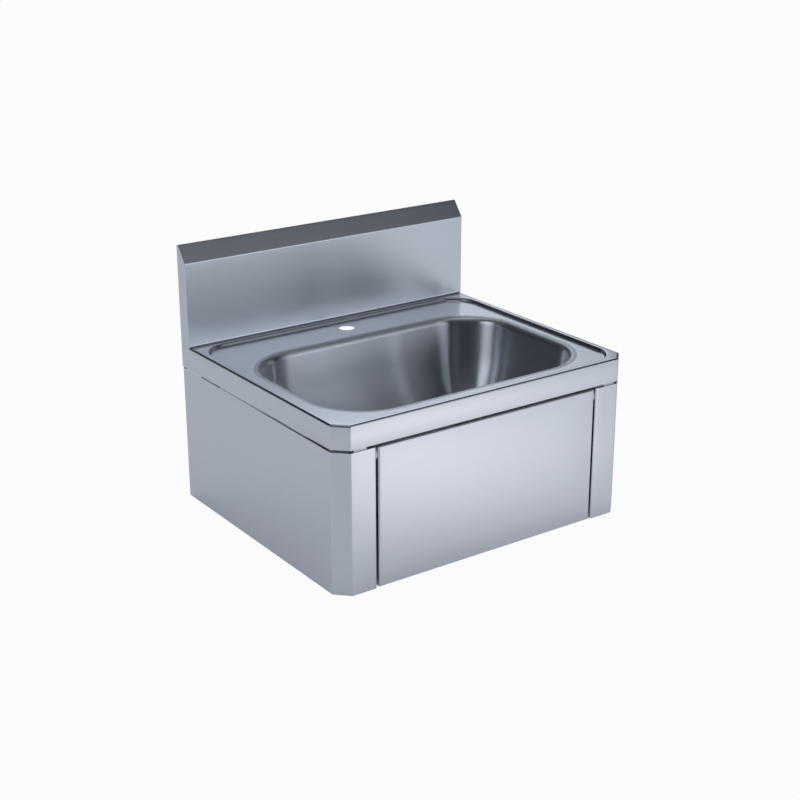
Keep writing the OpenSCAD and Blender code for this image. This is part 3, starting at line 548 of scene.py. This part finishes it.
def make_panel():
    """Knee panel: rings from the middle of its face out, round the folded edge and back along the four sides,
    deeper at the sides than above and below, with a notch at each corner. An ear at each side, a folded strip
    carried up, reaches behind the casing's return and rests on the buffer."""
    mid_z, half_z = (base_z + casing_top) / 2, (casing_top - base_z) / 2

    def outline(inset, radius):
        """The panel's outline drawn in by inset."""
        return round_ring(panel_x - inset, half_z - inset, radius, mid_z)

    def side_row(inset, radius, y):
        """The outline drawn in by inset, at the depth y."""
        ring = outline(inset, max(radius, panel_face_r))
        return np.column_stack([ring[:, 0], np.broadcast_to(y, len(ring)), ring[:, 1]])

    def face_row(share, y):
        """The face's outline shrunk towards its middle to a share of its size."""
        ring = outline(fold_out, panel_face_r)
        return np.column_stack([share * ring[:, 0], np.full(len(ring), y), mid_z + share * (ring[:, 1] - mid_z)])

    edge = outline(0, panel_r)
    from_side, from_end = np.abs(np.abs(edge[:, 0]) - panel_x), np.abs(np.abs(edge[:, 1] - mid_z) - half_z)
    depth = np.where(from_side < sliver, panel_side_d, panel_edge_d)
    depth = np.where((from_side < notch_w) & (from_end < notch_w), notch_d, depth)
    turns = np.linspace(0, math.pi / 2, FOLD_STEPS + 1)
    rows = [face_row(share, front_y) for share in PANEL_SHARES]
    rows += [side_row(fold_out * (1 - math.sin(t)), panel_r * math.sin(t), front_y + fold_out * (1 - math.cos(t)))
             for t in turns]
    rows += [side_row(0, panel_r, front_y + depth), side_row(sheet, panel_inner_r, front_y + depth)]
    rows += [side_row(sheet + fold_in * (1 - math.sin(t)), panel_inner_r,
                      front_y + sheet + fold_in * (1 - math.cos(t))) for t in turns[::-1]]
    rows += [face_row(share, front_y + sheet) for share in PANEL_SHARES[::-1]]
    parts = [tube(np.stack(rows))]
    fold_x, ear_y = panel_x - sheet / 2, buffer_high.y + rest_gap + sheet / 2
    path = [[fold_x, front_y + panel_side_d - ear_root], [fold_x, ear_y], [-buffer_low.x, ear_y]]
    outer, inner = (fold_edge(path, s * sheet / 2, [fold_mid]) for s in (1, -1))
    plan = np.concatenate([outer, inner[::-1]])
    heights = np.linspace(buffer_low.z - ear_rim, buffer_high.z + ear_rim, EAR_ROWS)
    for s in (-1, 1):
        parts.append(tube(np.stack([np.column_stack([s * plan[:, 0], plan[:, 1], np.full(len(plan), z)])
                                    for z in heights])))
    panel = new_piece("knee_panel_sheet", *join_parts(parts), "knee_panel", "satin_steel", "knee_panel")
    cut_with(panel, [rod("bush_cut", (s * panel_x, hinge_y, hinge_z), 0, bush_r, cutter_l) for s in (-1, 1)])
    return panel


# Return spring

def make_spring():
    """Return spring: a round wire whose middle runs on a helix about the valve's axis, its place along the axis
    rising evenly with its angle."""
    low, high = spring_low, spring_high
    wire_r = (high.x - low.x) / 2 - coil_r
    share = np.linspace(0, 1, coils * COIL_STEPS + 1)[:, None]
    turn = 2 * math.pi * coils * share
    round_wire = np.linspace(0, 2 * math.pi, WIRE_STEPS, endpoint=False)[None, :]
    away = coil_r + wire_r * np.cos(round_wire)
    x = (low.x + high.x) / 2 + away * np.cos(turn)
    z = (low.z + high.z) / 2 + away * np.sin(turn)
    y = low.y + wire_r + (high.y - low.y - 2 * wire_r) * share + wire_r * np.sin(round_wire)
    wire, faces = tube(np.stack([x, y, z], -1))
    spring = new_piece("return_spring_wire", wire.reshape(-1, 3), faces, "basin", "bright_steel", "return_spring",
                       WIRE_CRISP_ANGLE)
    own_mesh(spring)
    return spring


# Levels of the finishes. A span holds the part of a noise, or of the normal's height, over which a change goes from
# end to end. Scales are in waves a metre and details in octaves.
LYING_SPAN = (0.6, 0.8)
STREAK_SPAN = (0.25, 0.75)
CLOUD_SPAN = (0.3, 0.7)
MOTTLE_SPAN = (0.35, 0.65)
FINE_SHARE = 0.55
FINE_SCALE, BROAD_SCALE = 1.0, 0.22
STREAK_DETAIL = 2.0
STREAK_ROUGHNESS = 0.04
CLOUD_SCALE, CLOUD_DETAIL, CLOUD_ROUGHNESS = 7.0, 3.0, 0.01
SWELL_SCALE, SWELL_DETAIL, SWELL_STRENGTH = 14.0, 1.0, 1.0
MOTTLE_SCALE, MOTTLE_DETAIL, MOTTLE_DARK, MOTTLE_ROUGHNESS = 30.0, 3.0, 0.08, 0.15
SKIN_SCALE, SKIN_DETAIL, SKIN_STRENGTH = 900.0, 2.0, 0.05
skin_depth = 0.1 * mm


# Shader nodes

def node(tree, kind):
    """A new shader node of a kind."""
    return tree.nodes.new("ShaderNode" + kind)


def worked(tree, operation, *values):
    """One Math node: each value is a number or a socket."""
    made = node(tree, "Math")
    made.operation = operation
    for socket, value in zip(made.inputs, values):
        if isinstance(value, (int, float)):
            socket.default_value = value
        else:
            tree.links.new(value, socket)
    return made.outputs[0]


def summed(tree, start, terms):
    """Start plus each term times its level, as a chain of Math nodes that carry the terms' names."""
    total = start
    for name, value, level in terms:
        total = worked(tree, "MULTIPLY_ADD", value, level, total)
        total.node.label = name
    return total


def ramp(tree, source, span, result):
    """The source's span laid straight onto the result's, and held at its ends."""
    made = node(tree, "MapRange")
    for key, value in zip(("From Min", "From Max", "To Min", "To Max"), (*span, *result)):
        made.inputs[key].default_value = value
    tree.links.new(source, made.inputs["Value"])
    return made.outputs[0]


def mixed(tree, kind, factor, first, second):
    """From the first colour or vector to the second, by a factor from 0 to 1: each is a tuple or a socket."""
    made = node(tree, "Mix")
    made.data_type = kind
    tree.links.new(factor, made.inputs["Factor"])
    for key, value in (("A", first), ("B", second)):
        if isinstance(value, tuple):
            made.inputs[key].default_value = value
        else:
            tree.links.new(value, made.inputs[key])
    return made.outputs["Result"]


def noise(tree, place, scale, detail):
    """Noise at a place: its scale in waves a metre, its detail in octaves."""
    made = node(tree, "TexNoise")
    made.inputs["Scale"].default_value = scale
    made.inputs["Detail"].default_value = detail
    tree.links.new(place, made.inputs["Vector"])
    return made.outputs["Fac"]


def stretched(tree, place, scale):
    """A place with its three axes scaled."""
    made = node(tree, "Mapping")
    made.inputs["Scale"].default_value = scale
    tree.links.new(place, made.inputs["Vector"])
    return made.outputs[0]


def bumped(tree, height, strength, distance):
    """The normal of a surface raised by height times distance."""
    made = node(tree, "Bump")
    made.inputs["Strength"].default_value = strength
    made.inputs["Distance"].default_value = distance
    tree.links.new(height, made.inputs["Height"])
    return made.outputs[0]


def lying(tree):
    """1 where the surface lies flat and 0 where it stands, from the height of its own normal."""
    split = node(tree, "SeparateXYZ")
    tree.links.new(node(tree, "NewGeometry").outputs["Normal"], split.inputs[0])
    return ramp(tree, worked(tree, "ABSOLUTE", split.outputs["Z"]), LYING_SPAN, (0, 1))


# Finishes

def finish(name, metallic):
    """An empty finish: its material, its tree, its shader and the Object coordinates."""
    mat = bpy.data.materials.new(name)
    mat.use_nodes = True
    tree = mat.node_tree
    tree.nodes.clear()
    shader = node(tree, "BsdfPrincipled")
    shader.inputs["Metallic"].default_value = metallic
    tree.links.new(shader.outputs[0], node(tree, "OutputMaterial").inputs[0])
    return mat, tree, shader, node(tree, "TexCoord").outputs["Object"]


def scaled(colour, share):
    """A colour times a share, with full alpha."""
    return (*[c * share for c in colour], 1)


def around(middle, share):
    """A share below and a share above a middle value."""
    return middle * (1 - share), middle * (1 + share)


def brushed(name, colour, roughness, drawn_out, across, along=6.0, contrast=0.03, swell=0.03 * mm, lying_share=1.0):
    """Brushed steel. Its grain is noise with across and along waves a metre, level on standing faces and along the
    width on lying ones. Fine and broad streaks of it change the tone by contrast and the roughness a little, slow
    clouds change the roughness too, and a swell keeps the sheet from being perfectly flat. Lying faces have
    lying_share of the roughness. The reflection is drawn out across the grain, so the tangent lies across it."""
    mat, tree, shader, place = finish(name, 1.0)
    shader.inputs["Anisotropic"].default_value = drawn_out
    flat = lying(tree)
    grain = mixed(tree, "VECTOR", flat, stretched(tree, place, (along, along, across)),
                  stretched(tree, place, (along, across, along)))
    fine = ramp(tree, noise(tree, grain, FINE_SCALE, STREAK_DETAIL), STREAK_SPAN, (0, FINE_SHARE))
    broad = ramp(tree, noise(tree, grain, BROAD_SCALE, STREAK_DETAIL), STREAK_SPAN, (0, 1 - FINE_SHARE))
    streaks = worked(tree, "ADD", fine, broad)
    tone = mixed(tree, "RGBA", streaks, scaled(colour, 1 - contrast), scaled(colour, 1 + contrast))
    by_lie = ramp(tree, flat, (0, 1), (1, lying_share))
    by_streak = ramp(tree, streaks, (0, 1), around(roughness, STREAK_ROUGHNESS))
    cloud = ramp(tree, noise(tree, place, CLOUD_SCALE, CLOUD_DETAIL), CLOUD_SPAN, (-CLOUD_ROUGHNESS, CLOUD_ROUGHNESS))
    uneven = noise(tree, place, SWELL_SCALE, SWELL_DETAIL)
    for key, value in (("Base Color", tone), ("Roughness", worked(tree, "MULTIPLY_ADD", by_lie, by_streak, cloud)),
                       ("Normal", bumped(tree, uneven, SWELL_STRENGTH, swell)),
                       ("Tangent", mixed(tree, "VECTOR", flat, (0, 0, 1), (0, 1, 0)))):
        tree.links.new(value, shader.inputs[key])
    return mat


def plain(name, colour, roughness, metallic=0.0):
    """A moulded, cast or plated finish: one colour, darker and smoother in slow mottles, under a fine skin."""
    mat, tree, shader, place = finish(name, metallic)
    mottle = noise(tree, place, MOTTLE_SCALE, MOTTLE_DETAIL)
    tone = mixed(tree, "RGBA", ramp(tree, mottle, MOTTLE_SPAN, (0, 1)), scaled(colour, 1 - MOTTLE_DARK),
                 scaled(colour, 1))
    skin = noise(tree, place, SKIN_SCALE, SKIN_DETAIL)
    for key, value in (("Base Color", tone),
                       ("Roughness", ramp(tree, mottle, CLOUD_SPAN, around(roughness, MOTTLE_ROUGHNESS))),
                       ("Normal", bumped(tree, skin, SKIN_STRENGTH, skin_depth))):
        tree.links.new(value, shader.inputs[key])
    return mat


def paint(obj, finished):
    """Gives an object one finish and no other."""
    obj.data.materials.clear()
    obj.data.materials.append(finished)


satin = brushed("satin_steel", (0.70, 0.725, 0.765), roughness=0.29, drawn_out=0.7, across=2600, lying_share=0.8)
drawn = brushed("drawn_steel", (0.82, 0.85, 0.89), roughness=0.31, drawn_out=1.0, across=1800, along=4.0)
mill = brushed("mill_steel", (0.50, 0.52, 0.55), roughness=0.38, drawn_out=0.2, across=1200, along=30.0,
               contrast=0.10)
bright = brushed("bright_steel", (0.72, 0.74, 0.77), roughness=0.20, drawn_out=0.0, across=900, along=200.0,
                 contrast=0.06, swell=0.0)
brass = plain("turned_brass", (0.72, 0.52, 0.24), roughness=0.28, metallic=1.0)
nickel = plain("nickel_plate", (0.70, 0.68, 0.64), roughness=0.18, metallic=1.0)
rubber = plain("black_rubber", (0.025, 0.025, 0.028), roughness=0.6)
nylon = plain("natural_nylon", (0.78, 0.76, 0.70), roughness=0.4)
waste_plastic = plain("white_plastic", (0.80, 0.80, 0.79), roughness=0.32)

SLOT_FINISH = {"satin_steel": satin, "mill_steel": mill, "bright_steel": bright, "nickel": nickel, "brass": brass,
               "rubber": rubber, "nylon": nylon, "waste_plastic": waste_plastic}

for piece, finished in ((make_deck(), satin), (make_bowl(), drawn), (make_upstand(), satin),
                        (make_casing(-1, "left_casing"), satin), (make_casing(1, "right_casing"), satin),
                        (make_panel(), satin), (make_spring(), bright)):
    paint(piece, finished)
for part in frame["record"]["subparts"]:
    paint(frame["nodes"][part["node"]], SLOT_FINISH[part["material_slot"]])


# Studio

# What steel sees round it: the room's own level, and each soft light's azimuth, elevation and reach in degrees
# and its level. Azimuth is from straight ahead, to the right. Rays that aren't mirrored or let through meet
# PLAIN_LEVEL instead.
ROOM_LEVEL = 0.02
PLAIN_LEVEL = 0.85
ROOM_TINT = (0.85, 0.905, 1.0, 1)
SOFT_LIGHTS = (("front", 20, 8, 14, 1.4), ("front_right", 40, 8, 14, 0.8), ("front_high", 30, 30, 14, 0.27),
               ("right_high", 40, 52, 16, 0.13), ("back_right", 146, 25, 14, 1.05),
               ("back_right_high", 120, 52, 16, 0.17), ("left", -84, 20, 15, 2.0), ("right", 88, 16, 12, 0.4),
               ("overhead", 0, 90, 20, 0.7))

# What steel sees below: the floor's colour in the room's light, an even glow, and each patch's x, y and reach in
# metres and its level. The camera sees white by CAMERA_SHARE, and the lit floor with its shadow by the rest.
FLOOR_GLOW = 0.13
FLOOR_COLOUR = (0.565, 0.58, 0.605, 1)
GLOW_TINT = (1.0, 0.97, 0.93, 1)
FLOOR_PATCHES = (("near", 0.05, -0.75, 0.25, 0.6), ("near_right", 0.35, -0.75, 0.25, 0.36),
                 ("far_right", 0.5, -1.8, 0.6, 0.3), ("left", -0.6, -0.1, 0.3, 0.05))
CAMERA_SHARE = 0.95
floor_half = 12.0
floor_gap = 0.5 * mm
WHITE = (1, 1, 1, 1)

# The photo's camera, fitted to the corners of the basin: its place, its turn to the right, down and round in
# degrees, and its focal length in the photo's pixels
CAMERA_PLACE = (-1.0970, -1.7373, 0.7620)
CAMERA_YAW, CAMERA_PITCH, CAMERA_ROLL = 35.26, 20.425, 0.05
FOCAL_PX, FRAME_PX = 1521.7, 800
SENSOR_MM = 36.0


def coloured(tree, kind, colour):
    """A Diffuse, Emission or Background node of one colour."""
    made = node(tree, kind)
    made.inputs["Color"].default_value = colour
    return made


def seen_by_steel(tree, rays):
    """1 for a ray that a glossy surface mirrors or glass lets through, and 0 for any other."""
    return worked(tree, "ADD", rays["Is Glossy Ray"], rays["Is Transmission Ray"])


def make_floor():
    """A pale floor just under the basin. The camera sees it nearly white, with the basin's soft shadow. Steel sees
    it as bright as the room lights it, plus a glow. The glow is an even level plus patches of light, each its level
    times e to the power of minus the square of the distance from its middle over its reach."""
    z = cad_low.z - floor_gap
    corners = [(sx * floor_half, sy * floor_half, z) for sx, sy in ((-1, -1), (1, -1), (1, 1), (-1, 1))]
    floor = mesh_object("studio_floor", corners, [(0, 1, 2, 3)])
    mat = bpy.data.materials.new("pale_floor")
    mat.use_nodes = True
    mat.cycles.emission_sampling = "NONE"
    tree = mat.node_tree
    tree.nodes.clear()
    matt = coloured(tree, "BsdfDiffuse", FLOOR_COLOUR)
    white, glow = coloured(tree, "Emission", WHITE), coloured(tree, "Emission", GLOW_TINT)
    rays = node(tree, "LightPath").outputs
    place = node(tree, "TexCoord").outputs["Object"]
    patches = []
    for name, x, y, reach, level in FLOOR_PATCHES:
        away = node(tree, "VectorMath")
        away.operation = "DISTANCE"
        away.inputs[1].default_value = (x, y, z)
        tree.links.new(place, away.inputs[0])
        power = worked(tree, "MULTIPLY", worked(tree, "POWER", away.outputs["Value"], 2.0), -1 / reach ** 2)
        patches.append((name, worked(tree, "EXPONENT", power), level))
    level = worked(tree, "MULTIPLY", summed(tree, FLOOR_GLOW, patches), seen_by_steel(tree, rays))
    tree.links.new(level, glow.inputs["Strength"])
    mix, add = node(tree, "MixShader"), node(tree, "AddShader")
    tree.links.new(worked(tree, "MULTIPLY", rays["Is Camera Ray"], CAMERA_SHARE), mix.inputs[0])
    tree.links.new(matt.outputs[0], mix.inputs[1])
    tree.links.new(white.outputs[0], mix.inputs[2])
    tree.links.new(mix.outputs[0], add.inputs[0])
    tree.links.new(glow.outputs[0], add.inputs[1])
    tree.links.new(add.outputs[0], node(tree, "OutputMaterial").inputs[0])
    paint(floor, mat)


def direction(azimuth, elevation):
    """The unit vector at an azimuth from straight ahead, to the right, and an elevation, both in degrees."""
    a, e = math.radians(azimuth), math.radians(elevation)
    return math.sin(a) * math.cos(e), -math.cos(a) * math.cos(e), math.sin(e)


def make_world():
    """White to the camera. Steel sees a dim room with soft lights in it, each with an even middle and a soft edge:
    its level times e to the power of minus the cube of (1 less the cosine of the angle from its middle) over the
    same for its reach. Everything else is lit from all sides at a plain level."""
    world = bpy.data.worlds.new("studio")
    bpy.context.scene.world = world
    world.use_nodes = True
    world.cycles.sampling_method = "NONE"
    tree = world.node_tree
    tree.nodes.clear()
    white, room = coloured(tree, "Background", WHITE), coloured(tree, "Background", ROOM_TINT)
    rays = node(tree, "LightPath").outputs
    ahead = node(tree, "TexCoord").outputs["Generated"]
    lights = []
    for name, azimuth, elevation, reach, level in SOFT_LIGHTS:
        cosine = node(tree, "VectorMath")
        cosine.operation = "DOT_PRODUCT"
        cosine.inputs[1].default_value = direction(azimuth, elevation)
        tree.links.new(ahead, cosine.inputs[0])
        edge = 1 / (1 - math.cos(math.radians(reach)))
        away = worked(tree, "MULTIPLY_ADD", cosine.outputs["Value"], -edge, edge)
        cube = worked(tree, "MULTIPLY", worked(tree, "POWER", away, 3.0), -1.0)
        lights.append((name, worked(tree, "EXPONENT", cube), level))
    seen = seen_by_steel(tree, rays)
    to_steel = worked(tree, "MULTIPLY", summed(tree, ROOM_LEVEL, lights), seen)
    to_others = worked(tree, "MULTIPLY_ADD", seen, -PLAIN_LEVEL, PLAIN_LEVEL)
    tree.links.new(worked(tree, "ADD", to_steel, to_others), room.inputs["Strength"])
    mix = node(tree, "MixShader")
    tree.links.new(rays["Is Camera Ray"], mix.inputs[0])
    tree.links.new(room.outputs[0], mix.inputs[1])
    tree.links.new(white.outputs[0], mix.inputs[2])
    tree.links.new(mix.outputs[0], node(tree, "OutputWorld").inputs[0])


def make_camera():
    """The photo's camera. Its focal length in millimetres is to the sensor as that in pixels is to the frame."""
    cam = bpy.data.cameras.new("camera")
    cam.sensor_width = SENSOR_MM
    cam.lens = FOCAL_PX * SENSOR_MM / FRAME_PX
    obj = bpy.data.objects.new("camera", cam)
    bpy.context.scene.collection.objects.link(obj)
    obj.location = CAMERA_PLACE
    yaw, pitch, roll = (math.radians(angle) for angle in (CAMERA_YAW, CAMERA_PITCH, CAMERA_ROLL))
    obj.rotation_euler = Euler((math.pi / 2 - pitch, roll, -yaw), "XYZ")
    bpy.context.scene.camera = obj


make_floor()
make_world()
make_camera()
bpy.context.scene.view_settings.view_transform = "Standard"
